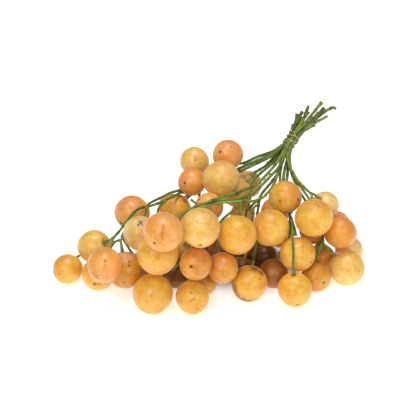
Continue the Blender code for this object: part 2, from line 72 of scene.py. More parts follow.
# Every fruit: right, above, nearer (GROUND: it lies on the ground), diameter.
GROUND = None
FRUITS = {
    1: (-122.0, -52.5, GROUND, 25.5), 2: (-99.0, -33.5, 12, 29.0), 3: (-90.0, -49.5, 73, 28.0),
    4: (-95.5, -57.0, GROUND, 27.5), 5: (-72.0, -54.0, 48, 30.0), 6: (-66.0, -4.5, 12, 31.0),
    7: (-59.0, -22.0, 48, 28.5), 8: (-39.0, -21.0, 100, 30.5), 9: (-43.0, -40.0, 73, 34.0),
    10: (-48.0, -74.5, GROUND, 33.0), 11: (-13.5, -77.5, GROUND, 28.0), 12: (-11.0, -48.0, 71, 26.0),
    13: (13.0, -52.0, 58, 25.5), 14: (-4.5, -63.5, GROUND, 24.0), 15: (-7.0, -17.5, 78, 31.5),
    16: (25.0, -23.5, 60, 32.0), 17: (-28.5, -1.5, 3, 28.0), 18: (-32.0, 1.0, -23, 24.0),
    19: (-14.0, 22.5, 9, 24.5), 20: (-11.5, 40.5, -14, 26.5), 21: (17.5, 46.0, 4, 27.0),
    22: (11.5, 25.0, 26, 32.0), 23: (1.0, 1.0, 38, 24.0), 24: (35.0, 20.5, -24, 25.0),
    25: (24.5, 14.0, 0, 26.0), 26: (3.5, -36.5, GROUND, 24.5), 27: (67.0, 9.5, 30, 28.0),
    28: (58.5, -3.5, -4, 26.0), 29: (55.0, -17.5, 44, 31.0), 30: (92.0, -8.5, 50, 31.5),
    31: (102.0, 2.5, 20, 23.5), 32: (115.0, -21.0, 32, 27.5), 33: (111.5, -14.0, 2, 22.5),
    34: (122.5, -36.5, 1, 24.5), 35: (119.5, -51.5, GROUND, 30.5), 36: (77.5, -40.0, 44, 29.5),
    37: (75.5, -70.5, GROUND, 28.5), 38: (36.5, -64.5, GROUND, 30.0), 39: (56.5, -57.5, GROUND, 25.0),
    40: (49.5, -42.5, GROUND, 23.5), 41: (94.5, -59.0, GROUND, 25.0), 42: (98.5, -43.0, GROUND, 24.0),
    43: (92.0, -19.0, 6, 24.0), 44: (62.5, -22.0, GROUND, 25.5), 45: (-59.0, -51.5, 20, 24.5),
    46: (35.5, -28.5, GROUND, 26.5), 47: (30.5, -7.0, -14, 22.0), 48: (-22.0, -32.0, GROUND, 24.5),
    49: (-28.0, -58.5, GROUND, 21.5), 50: (29.5, -53.0, GROUND, 21.0), 51: (-7.0, -9.5, GROUND, 28.5),
}
FRUIT_GAP = 0.4
FLAT_DEPTH = 0.35
WAIST = 0.015
STEM_DIMPLE = 0.02

# How the fruits are eased apart: rounds, share of a gap closed at once, and how freely a fruit moves
# across the line of sight and when it lies on the ground.
SETTLE_ROUNDS = 500
SETTLE_STEP = 0.6
ACROSS_EASE = 0.12
GROUND_EASE = 0.25

# A stalk: the node it belongs to, its place in the tied bundle (sideways and nearer, in stalk widths),
# the places of its cut end, its course down from the tie and its side stems. A course runs through places
# and through fruits' joints: a joint is a fruit's number, with its place where that is chosen. A side stem
# is a fruit's number, with the places on its way to the joint where they are chosen, or None in place of
# the number where the fruit has come off.
Stalk = namedtuple("Stalk", "node side near top course sprigs")
STALKS = (
    Stalk("stalk_left", -1.33, 0.45, ((78, 82, -8),), (
        (59.5, 47.5, -7), (47, 41, -5), (36.5, 36, -4), (28.5, 32, -3), (17.5, 26.5, -3), (4.5, 21, 0),
        (-5, 17.5, -4), (-14, 16.5, -7), (-22.5, 13.5, 6), (-31.5, 9.5, 24), (-37.5, 6.5, 27),
        (-50.5, 1.5, 29), (7, (-53, 1, 30)), (-59, 1.5, 31), (-62.5, -1.5, 32), (-66, -5, 31),
        (-71.5, -13, 31), (-78.5, -22, 33), (2, (-83.5, -27, 30)), (-82, -29, 15), (-85, -31, 2),
        (-92, -34.5, -7), (-104.5, -38.5, -6), (1, (-113, -42, 7)),
    ), ((9, (-37.5, 5, 39), (-41, 2.5, 44), (-43.5, -2, 52)), (3, (-84, -28.5, 46), (-84.5, -31, 58)))),
    Stalk("stalk_left", -1.29, -0.21, ((82, 84, -6),), (
        (59, 49, -11), (47, 43, -11), (36.5, 39, -10), (29.5, 35.5, -9), (17.5, 29.5, -8), (4.5, 23.5, -6),
        (-5, 20.5, -9), (-14, 19, -10), (-21, 17, -2), (-26, 15, 5), (-33, 13, 9), (-42, 8.5, 9),
        (-51.5, 4, 3), (-56.5, -0.5, -4), (-67, -12, -3), (-72, -18.5, 8), (-75, -24.5, 24),
        (5, (-76, -28, 40)), (-80.5, -28, 38), (-83.5, -33, 32), 4,
    ), (6, 45)),
    Stalk("stalk_crown", -1.42, -1.21, ((74, 73, -16),), (
        (59, 50.5, -17), (54, 48, -18), (42, 44.5, -20), (30.5, 38.5, -20), (21, (24.5, 38.5, -14)),
        (20, (1.5, 29.5, -24)), (-8.5, 10.5, -28), 51,
    ), (19, 18, 17)),
    Stalk("stalk_inner", -0.22, -1.41, ((82.5, 79, -18),), (
        (62, 48.5, -17), (55.5, 42, -16), (50, 36.5, -13), (45, 33.5, -9), (25, (41, 30.5, -4)),
    ), (24,)),
    Stalk("stalk_inner", -0.5, -0.82, ((85.5, 81.5, -16),), (
        (64.5, 48, -14), (55.5, 38.5, -9), (43.5, 28.5, -2), (39, 24.5, 2), (37, 19, 6), (37, 8, 14),
        (35, 1.5, 14), (32.5, -4.5, 10), 46,
    ), ()),
    Stalk("stalk_middle", -0.62, 1.15, ((87.5, 84, -6),), (
        (65.5, 48.5, -6), (58, 37, -2), (47, 25, 6), (42, 20, 12), (36.5, 17.5, 18), (28, 14.5, 30),
        (17.5, 11.5, 44), (4.5, 6.5, 57), (-1.5, 4, 61), (-8.5, 3, 65), (-15.5, -1, 67),
        (8, (-26, -8, 82)),
    ), ((23, (2.5, 6.5, 56)), (22, (25, 11.5, 31)), (None, (-12, 5, 66), (-15, 7.5, 65)))),
    Stalk("stalk_middle", -0.24, 1.69, ((90.5, 80, -2),), (
        (67, 46, -4), (62, 35.5, -2), (55, 28.5, 2), (43.5, 16.5, 14), (34, 10, 28), (24.5, 7.5, 40),
        (17.5, 7, 48), (5, 5.5, 56), (-1, 3, 56), (-7, -1.5, 52), (-12, -12, 46), (-17.5, -28, 30),
        (-15.5, -47, 22), 49,
    ), (12, 48, 26, 14, 10, 11)),
    Stalk("stalk_centre", 0.22, -0.12, ((99, 92, -14),), (
        (66.5, 48.5, -10), (61.5, 33, -4), (59.5, 26, 4), (54, 15, 20), (50.5, 11, 28), (45.5, 7.5, 36),
        (39.5, 6, 43), (34, 5, 48), (16, (29, 6, 53)), (23.5, 5.5, 54), (15.5, 5, 57), (7, 4, 60),
        (0, 1.5, 64), (15, (-4, 0.5, 65)),
    ), ((13, (25, 0.5, 46), (18.5, -5, 42), (11.5, -9.5, 40), (8.5, -17.5, 38), (8.5, -30.5, 44)),)),
    Stalk("stalk_centre", 0.5, -0.72, ((87.5, 89, -8),), (
        (65.5, 42, -13), (60.5, 29.5, -12), (54, 21, -9), (48.5, 15, -5), (44.5, 10, -1), (44, 2.5, 2),
        (43, -4.5, 4), (42, -12, 4), (41, -26, 6), 40, 38,
    ), ((47, (40.5, 4.5, 0)), (50, (40, 2.5, 8), (39, -3.5, 9), (38.5, -12, 6), (35, -32, 4)))),
    Stalk("stalk_centre", -0.37, 0.18, ((80.5, 77.5, -14),), (
        (64.5, 44.5, -8), (63, 37.5, -6), (62.5, 30.5, -4), (63, 23.5, 0), (61.5, 14, -2), 28, 44,
    ), ()),
    Stalk("stalk_drop", 1.15, 0.27, ((101, 87, -18),), (
        (69.5, 45, -10), (67, 35, -7), (65.5, 28, -3), (66, 15.5, 4), (69, 2.5, 10), (70.5, -5, 26),
        (73, -9.5, 36), (73, -18.5, 50), (73.5, -28, 60), (74.5, -40, 63), (37, (74, -48.5, 62.5)),
    ), (27, (36, (75, -15, 40), (75.5, -19, 42)))),
    Stalk("stalk_drop", 1.42, -0.33, ((111.5, 86, -22), (109, 87.5, -22), (103.5, 85, -22)), (
        (70.5, 45, -14), (69.5, 33, -12), (68.5, 23.5, -8), (69.5, 1, 10), (71.5, -7, 22),
        (71.5, -15.5, 28), (71, -26, 28), (66, -38.5, 26), 39,
    ), (29,)),
    Stalk("stalk_right", 0.35, 0.87, ((104, 80, -12),), (
        (68, 45, -4), (72, 33.5, -5), (75.5, 28, -3), (79, 22.5, 4), (83, 19, 12), (86, 15.5, 22),
        (30, (90, 12.5, 40)),
    ), ((31, (92, 12, 37), (93, 11.5, 34)),)),
    Stalk("stalk_right", 0.89, 1.24, ((96.5, 83, -10),), (
        (70.5, 44.5, -6), (72.5, 29.5, -6), (75.5, 22.5, -4), (79, 15.5, 0), (82, 10.5, 8), (85, 6.5, 12),
        (90.5, -6, 10), 43,
    ), ()),
    Stalk("stalk_far_right", 0.75, -1.69, ((92.5, 73, -19),), (
        (70.5, 43.5, -18), (73.5, 29, -15), (77, 23.5, -11), (81, 18, -4), (84.5, 13, 2), (88, 8, 5),
        (93, -1.5, 6), (98.5, -11.5, 14), (100, -21, 24), (100, -26, 26), (35, (99.5, -30, 30)),
    ), (33, 32, 34, (42, (96.5, -31, 28), (94, -32.5, 24)), 41)),
)
STALK_PITCH = 2.75
CUT_RADIUS = 1.4
TIED_RADIUS = 1.18
STALK_RADIUS = 1.3
STALK_END_RADIUS = 0.85
STEM_RADIUS = 0.85
STEM_FOOT_RADIUS = 1.6
STEM_FOOT = 6.5
SKIN_GAP = 0.3
CLEARANCE = 0.7
STALK_GAP = 0.45
BARE_TIP_RADIUS = 1.3
JOINT_LENGTHS = (5.0, 8.0, 11.0)
JOINT_WAYS = 260
EASE_ROUNDS = 170
EVENNESS = 0.4
HOMING = 0.08

# The tie: windings of one string round the bundle, as (height along it, tilt, turn of the tilt).
TIE_PLACE = (73.0, 59.5, -12)
TIE_LEAN = math.radians(56)
TIE_AWAY = 0.12
TIE_REACH = (6.0, 6.5)
WINDINGS = ((3.4, 2.4, 3.1), (2.0, 0.9, 0.3), (-3.7, 1.1, 2.9), (-2.9, 2.6, 0.0))
STRING_RADIUS = 0.45
STRING_GAP = 0.25


def unit(vector):
    return vector / np.linalg.norm(vector)


def norms(rows):
    return np.linalg.norm(rows, axis=1)


def units(rows):
    return rows / np.maximum(norms(rows), TINY)[:, None]


def drawn_way(draw):
    return np.array([draw.gauss(0, 1) for _ in range(3)])


def bell(distance, width):
    return np.exp(-(distance / width) ** 2)


def lengths_along(line):
    return np.concatenate([[0], np.cumsum(norms(np.diff(line, axis=0)))])


def world(right, above, nearer):
    """The place that appears so far to the right of and above the middle, and lies so much nearer."""
    shrink = (EYE_DISTANCE - nearer) / EYE_DISTANCE
    return MIDDLE + (RIGHT * right + ABOVE * above) * shrink + NEARER * nearer


def on_ground(right, above, radius):
    """The same for a ball of this radius that lies on the ground."""
    nearer = 0.0
    for _ in range(30):
        nearer += (radius - world(right, above, nearer)[2]) / 0.6
    return world(right, above, nearer)


def settled_fruits():
    """Centres and radii, eased apart mostly along the line of sight until no two fruits touch."""
    radii = np.array([row[3] / 2 for row in FRUITS.values()])
    grounded = np.array([row[2] is GROUND for row in FRUITS.values()])
    centres = np.array([
        on_ground(right, above, size / 2) if nearer is GROUND else world(right, above, nearer)
        for right, above, nearer, size in FRUITS.values()
    ])
    ease = ACROSS_EASE * (np.outer(RIGHT, RIGHT) + np.outer(ABOVE, ABOVE)) + np.outer(NEARER, NEARER)
    lift = ease @ UP / (UP @ ease @ UP)
    first, second = np.triu_indices(len(radii), 1)
    for _ in range(SETTLE_ROUNDS):
        apart = norms(centres[second] - centres[first])
        gaps = apart - radii[first] - radii[second] - FRUIT_GAP
        for pair in np.nonzero(gaps < 0)[0]:
            one, other = first[pair], second[pair]
            push = unit(centres[other] - centres[one])
            one_way = (GROUND_EASE if grounded[one] else 1.0) * (ease @ push)
            other_way = (GROUND_EASE if grounded[other] else 1.0) * (ease @ push)
            share = -SETTLE_STEP * gaps[pair] / (push @ (one_way + other_way))
            centres[one] -= share * one_way
            centres[other] += share * other_way
        sunk = radii - centres[:, 2]
        centres += np.outer(np.where(grounded, sunk, np.maximum(sunk, 0)), lift)
    numbers = list(FRUITS)
    return dict(zip(numbers, centres)), dict(zip(numbers, radii))


def even_directions(count):
    """Directions spread evenly over a ball, along a spiral."""
    steps = np.arange(count) + 0.5
    polar = np.arccos(1 - 2 * steps / count)
    turn = math.pi * (1 + math.sqrt(5)) * steps
    return np.stack([np.cos(turn) * np.sin(polar), np.sin(turn) * np.sin(polar), np.cos(polar)], 1)


def free_joint(number, along, centres, radii):
    """A joint for a fruit's stem, on its side towards the stalk, where no other fruit is in the way."""
    centre, radius = centres[number], radii[number]
    others = np.array([centres[other] for other in centres if other != number])
    other_radii = np.array([radii[other] for other in centres if other != number])
    wish = unit(unit(along - centre) + 0.35 * UP)
    best, place = -9.0, None
    for way in even_directions(JOINT_WAYS):
        for length in JOINT_LENGTHS:
            joint = centre + way * (radius + length)
            line = centre + np.outer(radius + length * np.array([0.06, 0.5, 0.8, 1.0]), way)
            room = np.linalg.norm(line[:, None] - others, axis=2) - other_radii
            score = way @ wish - 0.02 * length
            if joint[2] > 4 and room.min() > 1.8 and room[3].min() > 2.4 and score > best:
                best, place = score, joint
    return place


def rounded_course(places, step=2.4):
    """A smooth line through places, with the index on it of each place."""
    padded = [2 * places[0] - places[1], *places, 2 * places[-1] - places[-2]]
    line, marks = [], []
    for before, start, end, after in zip(padded, padded[1:], padded[2:], padded[3:]):
        length = np.linalg.norm(end - start)
        leave = (unit(start - before) + unit(end - start)) * length / 2
        arrive = (unit(end - start) + unit(after - end)) * length / 2
        marks.append(len(line))
        count = max(1, round(length / step))
        for share in np.arange(count) / count:
            square, cube = share ** 2, share ** 3
            line.append((2 * cube - 3 * square + 1) * start + (cube - 2 * square + share) * leave
                        + (3 * square - 2 * cube) * end + (cube - square) * arrive)
    marks.append(len(line))
    line.append(places[-1])
    return np.array(line), marks


def eased_lines(lines, loose, nodes, centres, radii):
    """The lines, smoothed and pushed out of the fruits and off each other. Fixed points stay."""
    owner = np.concatenate([np.full(len(line), number) for number, line in enumerate(lines)])
    points = np.concatenate(lines)
    home = points.copy()
    free = np.concatenate(loose)
    family = np.array([nodes.index(node) for node in nodes])[owner]
    apart = np.where(family[:, None] == family[None], 1.4 * STALK_RADIUS, 2 * STALK_RADIUS + STALK_GAP)
    apart[owner[:, None] == owner[None]] = 0
    for turn in range(EASE_ROUNDS):
        middle = points.copy()
        middle[1:-1] = (points[:-2] + points[2:]) / 2
        points[free] += (EVENNESS * (middle - points) + HOMING * (home - points))[free]
        if turn % 2 == 0:
            squares = (points ** 2).sum(1)
            distance = np.sqrt(np.maximum(squares[:, None] + squares - 2 * points @ points.T, 0.0001))
            one, other = np.nonzero(distance < apart)
            push = 0.5 * (apart[one, other] / distance[one, other] - 1)
            moved = np.zeros(points.shape)
            np.add.at(moved, one, (points[one] - points[other]) * push[:, None])
            points[free] += moved[free]
        for number, centre in centres.items():
            offset = points - centre
            distance = norms(offset)
            reach = radii[number] + STALK_RADIUS + CLEARANCE
            inside = free & (distance < reach)
            points[inside] = centre + offset[inside] * (reach / distance[inside])[:, None]
        low = free & (points[:, 2] < 2 * STALK_RADIUS)
        points[low, 2] = 2 * STALK_RADIUS
    return [points[owner == number] for number in range(len(lines))]


def bundle_axes():
    """The middle of the tie, the bundle's direction towards the cut ends, and its two cross directions."""
    along = unit(RIGHT * math.cos(TIE_LEAN) + ABOVE * math.sin(TIE_LEAN) - NEARER * TIE_AWAY)
    side = unit(np.cross(NEARER, along)) * -1
    near = unit(np.cross(side, along))
    return world(*TIE_PLACE), along, side, near


def winding(height, tilt, turn, count, along, side, near):
    """A string's middle line, taut round the bundle from its right side on, on a slant."""
    slots = np.array([(stalk.side, stalk.near) for stalk in STALKS]) * STALK_PITCH
    angles = np.linspace(0, 2 * math.pi, count, endpoint=False)
    ways = np.stack([np.cos(angles), np.sin(angles)], 1)
    places = slots[(ways @ slots.T).argmax(1)] + ways * (TIED_RADIUS + STRING_GAP + STRING_RADIUS)
    lifts = height + tilt * np.cos(angles - turn)
    return np.outer(places[:, 0], side) + np.outer(places[:, 1], near) + np.outer(lifts, along)


def laid_stalks(centres, radii):
    """Every line of the stalks as (node, points, radii of the points), from the tie down to the fruits."""
    tie, along, side, near = bundle_axes()
    courses, loose, joints, tied = [], [], [], []
    for stalk in STALKS:
        slot = tie + (side * stalk.side + near * stalk.near) * STALK_PITCH
        places = [world(*place) for place in stalk.top]
        upper = len(places)
        places += [slot + along * TIE_REACH[0], slot, slot - along * TIE_REACH[1]]
        fixed, hung = [True] * len(places), {}
        for stop in stalk.course:
            if isinstance(stop, int):
                place = hung[stop] = free_joint(stop, places[-1], centres, radii)
            elif len(stop) == 2:
                place = hung[stop[0]] = world(*stop[1])
            else:
                place = world(*stop)
            places.append(place)
            fixed.append(isinstance(stop, int) or len(stop) == 2)
        line, marks = rounded_course(places)
        first, last = marks[upper], marks[upper + 2]
        line[first:last + 1] = np.linspace(places[upper], places[upper + 2], last - first + 1)
        free = np.ones(len(line), bool)
        free[[mark for mark, held in zip(marks, fixed) if held]] = False
        free[first:last + 1] = False
        courses.append(line)
        loose.append(free)
        joints.append(hung)
        tied.append((first, last))
    nodes = [stalk.node for stalk in STALKS]
    courses = eased_lines(courses, loose, nodes, centres, radii)

    sprigs = []
    for stalk, course, (_, last) in zip(STALKS, courses, tied):
        below = course[last + 1:]
        for sprig in stalk.sprigs:
            if isinstance(sprig, int):
                goal = sprig
                close = below[norms(below - centres[goal]).argmin()]
                joint = free_joint(goal, close, centres, radii)
                branch = below[max(norms(below - joint).argmin() - 1, 0)]
                way = [branch, (branch + joint) / 2, joint]
            else:
                goal, *way = sprig
                way = [world(*place) for place in way]
                way.insert(0, below[max(norms(below - way[0]).argmin() - 1, 0)])
            sprigs.append((stalk.node, goal, rounded_course(way)[0]))
    held = [np.zeros(len(line), bool) for line in courses]
    inner = [np.r_[False, np.ones(len(line) - 2, bool), False] for _, _, line in sprigs]
    eased = eased_lines(courses + [line for _, _, line in sprigs], held + inner,
                        nodes + [node for node, _, _ in sprigs], centres, radii)

    lines = []
    for stalk, course, hung, (first, last) in zip(STALKS, courses, joints, tied):
        stations = [0, first, last, min(last + 8, len(course) - 2), len(course) - 1]
        width = np.interp(np.arange(len(course)), stations,
                          [CUT_RADIUS, TIED_RADIUS, TIED_RADIUS, STALK_RADIUS, STALK_END_RADIUS])
        lines.append((stalk.node, course, width))
        lines += [(stalk.node, *foot(joint[None], fruit, centres, radii)) for fruit, joint in hung.items()]
    for (node, goal, _), line in zip(sprigs, eased[len(courses):]):
        if goal is None:
            lines.append((node, line, np.array([STEM_RADIUS] * (len(line) - 1) + [BARE_TIP_RADIUS])))
        else:
            lines.append((node, *foot(line, goal, centres, radii)))
    return lines


def foot(line, fruit, centres, radii):
    """A stem's line carried on to its fruit, with a thick foot just clear of the skin."""
    way = unit(line[-1] - centres[fruit])
    skin = radii[fruit] * (1 - STEM_DIMPLE) + SKIN_GAP
    length = np.linalg.norm(line[-1] - centres[fruit]) - skin
    start = min(STEM_FOOT, 0.8 * length)
    end = centres[fruit] + np.outer([skin + start, skin + 0.6 * start, skin], way)
    width = [STEM_RADIUS] * len(line) + [STEM_RADIUS, 0.8 * STEM_FOOT_RADIUS, STEM_FOOT_RADIUS]
    return np.vstack([line, end]), np.array(width)


# The looks of the fruits: tints as (warm core, paler skin), each fruit's tint, how browned its skin is, and
# where its sunny side is seen, right and above of its middle, with how strongly it is flushed. Here and in
# the tables of dents and marks, shares and millimetres are given in hundredths.
HUNDRED = 100
TINTS = {
    "yellow": ((0.82, 0.40, 0.022), (0.92, 0.55, 0.07)),
    "pale": ((0.88, 0.51, 0.07), (0.95, 0.65, 0.19)),
    "cream": ((0.90, 0.56, 0.12), (0.96, 0.69, 0.26)),
    "ochre": ((0.57, 0.24, 0.010), (0.69, 0.34, 0.025)),
    "orange": ((0.76, 0.28, 0.018), (0.86, 0.40, 0.045)),
    "peach": ((0.85, 0.35, 0.040), (0.94, 0.49, 0.11)),
    "tan": ((0.68, 0.26, 0.014), (0.80, 0.39, 0.04)),
    # The dark and shade tints are painted shade: they colour fruits that lie deep in the bunch darker for
    # the shade there.
    "dark": ((0.31, 0.10, 0.007), (0.42, 0.165, 0.018)),
    "shade": ((0.13, 0.044, 0.005), (0.20, 0.072, 0.009)),
}
TINTED = {
    "pale": (2, 15, 20, 22, 24, 25, 35, 47, 51),
    "cream": (7, 31, 34),
    "orange": (18, 32, 42, 43),
    "peach": (3, 6, 8, 19, 21, 23, 28, 33, 44, 46),
    "tan": (12, 13, 41),
    "ochre": (5, 14),
    # Painted shade: these fruits lie deep in the bunch.
    "dark": (26, 39, 45),
    "shade": (40, 49, 50),
}
BROWNED = {38: 0.6, 39: 0.4, 40: 0.6, 25: 0.8, 5: 0.3, 14: 0.35, 49: 0.4, 50: 0.5, 45: 0.3, 42: 0.3}
FLUSHED = {
    1: (-50, 50, 40), 3: (60, -30, 45), 4: (0, 70, 55), 5: (50, 50, 30), 6: (-40, 60, 70), 7: (50, 50, 25),
    8: (0, 70, 50), 9: (20, -80, 40), 10: (-50, -60, 40), 11: (-60, -50, 30), 12: (40, 70, 60),
    13: (-40, 60, 50), 15: (70, 20, 30), 16: (60, -40, 40), 17: (30, 60, 40), 18: (-50, 60, 40),
    19: (-60, 30, 60), 20: (-60, -50, 30), 21: (30, 70, 75), 22: (50, 60, 45), 23: (-30, -60, 70),
    24: (-50, 50, 40), 25: (40, 20, 50), 27: (60, 50, 80), 28: (-60, 30, 50), 29: (-70, 30, 55),
    30: (20, 80, 40), 32: (30, 60, 50), 33: (0, 80, 50), 35: (-60, 50, 20), 36: (50, 60, 25),
    37: (-70, -40, 20), 39: (20, 70, 50),
}

# Flattened places of the fruits' outlines: fruit, right and above of its middle, depth, all by its radius.
DENTS = (
    (6, -75, -65, 5), (10, -80, -60, 4.5), (10, 80, -60, 4.5), (11, -80, -60, 6), (11, 85, -50, 4.5),
    (8, -85, -40, 3), (8, 85, 60, 2.5), (9, 75, -65, 4.5), (9, -75, -65, 3), (36, 0, 100, 6),
    (30, -80, 60, 3), (30, 10, -100, 3), (38, 80, -60, 5), (38, -90, 40, 3), (16, 0, 100, 3),
    (15, -60, -80, 3), (37, -80, -60, 3.5), (37, 80, -60, 4), (35, -60, 80, 3), (21, 80, -60, 5),
    (19, 0, -100, 3), (3, -90, 30, 3), (3, 80, -60, 3), (20, 70, 70, 3), (12, -70, 70, 3),
    (13, 70, -70, 4), (32, 60, 80, 4), (1, 30, 95, 3), (22, -50, 85, 3), (29, 80, 60, 3), (27, -70, 70, 3),
    (7, -70, -70, 3),
)

# Marks on the skins by kind, as the eye in front sees them: fruit, right and above by its radius, and the
# mark's own radius in length. The pale kind is a painted highlight. A scratch is a row of small marks from
# one such place to another.
MARKS = {
    "tip": (
        (8, -38, -51, 85), (7, -3, 50, 100), (7, 10, 60, 100), (7, 20, 50, 60), (6, -55, -54, 110),
        (4, -12, -55, 90), (5, 30, 51, 65), (5, 31, 32, 65), (12, -26, -12, 105), (15, 2, -84, 100),
        (38, 43, -84, 120), (19, -49, -9, 80), (20, -90, -33, 80), (21, -53, 15, 95), (23, -70, 51, 80),
        (27, -39, -25, 45), (27, 70, -17, 95), (29, 78, -54, 100), (33, 4, 58, 95), (36, 67, -44, 90),
        (41, 40, -33, 80),
    ),
    "amber": (
        (8, 1, -18, 90), (8, 6, -62, 70), (9, 7, -12, 160), (7, -34, -46, 80), (6, -49, 22, 90),
        (6, 3, 38, 90), (2, -10, 75, 50), (3, 10, -15, 60), (3, -20, -50, 60), (15, 17, 80, 50),
        (11, 28, -59, 140), (10, 48, 63, 80), (10, 0, 2, 70), (10, 24, -80, 70), (20, 10, 10, 170),
        (30, 3, 62, 200), (30, 18, -51, 60), (37, 50, -60, 60), (35, -5, -10, 60),
    ),
    "blush": (
        (8, 50, -42, 180), (8, -80, 9, 100), (8, -30, -84, 80), (21, 75, -10, 250),
    ),
    "brown": (
        (9, -9, -69, 40), (2, 62, 50, 70), (1, -59, 43, 50), (3, 17, 28, 70), (3, -55, -44, 60),
        (3, -36, -61, 70), (3, -28, -70, 50), (3, -50, -58, 45), (4, 10, -58, 50), (4, 20, -60, 45),
        (5, 3, -60, 85), (5, 65, -24, 90), (12, -8, 52, 90), (12, 56, -45, 60), (12, -60, -45, 70),
        (16, 53, 33, 40), (16, 40, 20, 35), (13, 63, 22, 45), (11, -6, 37, 70), (11, 41, 37, 45),
        (11, 60, -42, 60), (11, 66, -36, 50), (38, 57, 35, 70), (38, 50, 28, 50), (20, 0, 2, 50),
        (20, 20, 6, 45), (21, 13, 47, 80), (27, -39, -25, 100), (27, -25, 35, 40), (29, -50, 55, 40),
        (30, 2, 72, 60), (30, 12, 55, 45), (30, -10, 58, 45), (36, 20, 44, 60), (36, 0, 40, 40),
        (36, 72, 14, 70), (37, 5, -80, 100), (37, 20, -76, 80), (35, 52, -13, 50), (17, 62, 56, 160),
        (18, -75, -30, 80),
    ),
    "olive": (
        (7, 8, 66, 140),
    ),
    # Painted highlight: a pale arc of light along fruit 5's top rim.
    "pale": (
        (5, -5, 85, 350), (5, 35, 82, 250),
    ),
    "bruise": (
        (38, -86, -30, 340), (38, -70, -62, 320), (38, -36, -86, 320), (38, -2, -95, 280),
        (38, 30, 86, 300), (38, 62, 64, 220),
    ),
}
SCRATCHES = {
    "scratch": (
        (8, (2, 34), (0, -18), 35), (8, (10, 42), (10, 20), 30), (11, (-16, -14), (20, 8), 50),
        (37, (-47, 2), (-51, -39), 40), (30, (0, 62), (-28, 42), 30), (30, (8, 62), (36, 50), 30),
    ),
    "amber": (
        (8, (6, 30), (2, -30), 130), (3, (12, 36), (20, -6), 60), (9, (20, 30), (45, 10), 35),
    ),
    "brown": (
        (3, (-62, -36), (-30, -56), 40), (3, (-50, -62), (-12, -70), 40), (3, (-40, -42), (-20, -68), 35),
        (4, (-10, -56), (30, -50), 35), (15, (-17, 37), (-7, 22), 30),
    ),
}
MARK_COLOURS = {
    "tip": ((0.075, 0.012, 0.001), 0.97),
    "brown": ((0.34, 0.085, 0.006), 0.75),
    "scratch": ((0.42, 0.11, 0.008), 0.7),
    "amber": ((0.57, 0.165, 0.010), 0.55),
    "blush": ((0.80, 0.27, 0.10), 0.5),
    "olive": ((0.12, 0.06, 0.004), 0.9),
    # The pale marks are a painted highlight.
    "pale": ((0.93, 0.58, 0.30), 0.6),
    "bruise": ((0.20, 0.045, 0.003), 0.92),
}
CRISP_MARKS = ("tip", "brown", "scratch")
MARK_SCALE = 1.3
MARK_WANDER = 1.3
SCRATCH_STEP = 1.3
RANDOM_MARKS = 5
GROUND_ROOM = 0.02
DENT_WIDTH = 0.22
SCUFF = (0.42, 0.15, 0.035)
DOT = (0.36, 0.13, 0.03)
SKIN_SURFACE = {
    "Specular IOR Level": 0.58,
    "Subsurface Weight": 0.12,
    "Subsurface Radius": (1.0, 0.38, 0.10),
    "Subsurface Scale": 0.003,
    "Sheen Weight": 0.22,
    "Sheen Roughness": 0.5,
    "Sheen Tint": (1.0, 0.72, 0.42),
}


def cad_shift(centres):
    """How far the solid model stands from the layout's own origin, from the fruits' middles."""
    offsets = []
    for number, centre in centres.items():
        low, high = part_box(f"fruit_{number:02d}")
        middle = np.array((low + high) / 2) / MM
        offsets.append(middle[:2] - centre[:2])
    return np.array([*np.median(offsets, axis=0), 0.0])


# The stems' own detail: how far apart their joints are, how much and how far they, the forks and the cut
# ends swell or turn brown, the cut ends' thickness in stem radii, and how sunlit each stalk is painted,
# from painted shade to painted sunlight.
KNUCKLE_SPACING = (12.0, 24.0)
KNUCKLE_SWELL = 0.2
KNUCKLE_LENGTH = 0.95
SKIN_ROOM = 0.12
PEDICEL_RADII = (1.15, 1.8)
FORK_SWELL = 0.38
FORK_LENGTH = 1.5
END_LENGTH = 2.6
BROWN_LENGTH = 3.0
BARK_LENGTH = 6.0
BROWN_FOOT = 0.6
SPUR_CHANCE = 0.75
SPUR_RADII = (0.7, 0.62, 0.42)
SPUR_BROWN = (0.3, 0.7, 1.0)
TAIL_RADII = (1.2, 1.2, 0.6, 0.55)
END_THICKNESS = (1.5, 1.2, 1.0, 1.1, 1.15, 1.2, 1.3, 1.35, 0.85, 1.1, 1.3, 0.75, 0.8, 1.3, 1.5)
PAINTED_SUNLIGHT = (0.2, 0.3, 0.1, 0.1, 0.4, 0.85, 0.6, 0.95, 0.3, 0.3, 0.15, 0.5, 0.95, 0.4, 0.5)
TRACK_STEP = 40
GRAIN_STRETCH = 0.06
STALK_VOXEL = 0.42
TIE_VOXEL = 0.16
WELD = 0.00001
STRAND_RADIUS = 0.32
STRAND_TWIST = 0.18
STRAND_TURNS = 9


def fine_line(line, widths, step=0.9):
    """A denser, rounder version of a line, with its points' radii."""
    if len(line) < 3:
        return line, widths
    fine, marks = rounded_course(list(line), step)
    return fine, np.interp(np.arange(len(fine)), marks, widths)


def knuckled(line, widths, forks, draw):
    """Radii with a stem's joints and forks on them, how brown it is there, and the joints' places."""
    lengths = lengths_along(line)
    joints, at = [], draw.uniform(5, 14)
    while at < lengths[-1] - 5:
        joints.append(at)
        at += draw.uniform(*KNUCKLE_SPACING)
    brown = np.zeros(len(line))
    widths = widths.copy()
    for joint in joints:
        near = bell(lengths - joint, KNUCKLE_LENGTH)
        widths *= 1 + KNUCKLE_SWELL * near
        brown = np.maximum(brown, draw.uniform(0.1, 0.65) * near)
    for fork in forks:
        apart = norms(line - fork)
        if apart.min() < 2.5:
            near = bell(lengths - lengths[apart.argmin()], FORK_LENGTH)
            widths *= 1 + FORK_SWELL * near
            brown = np.maximum(brown, draw.uniform(0.3, 0.8) * near)
    return widths, brown, [int(np.searchsorted(lengths, joint)) for joint in joints]


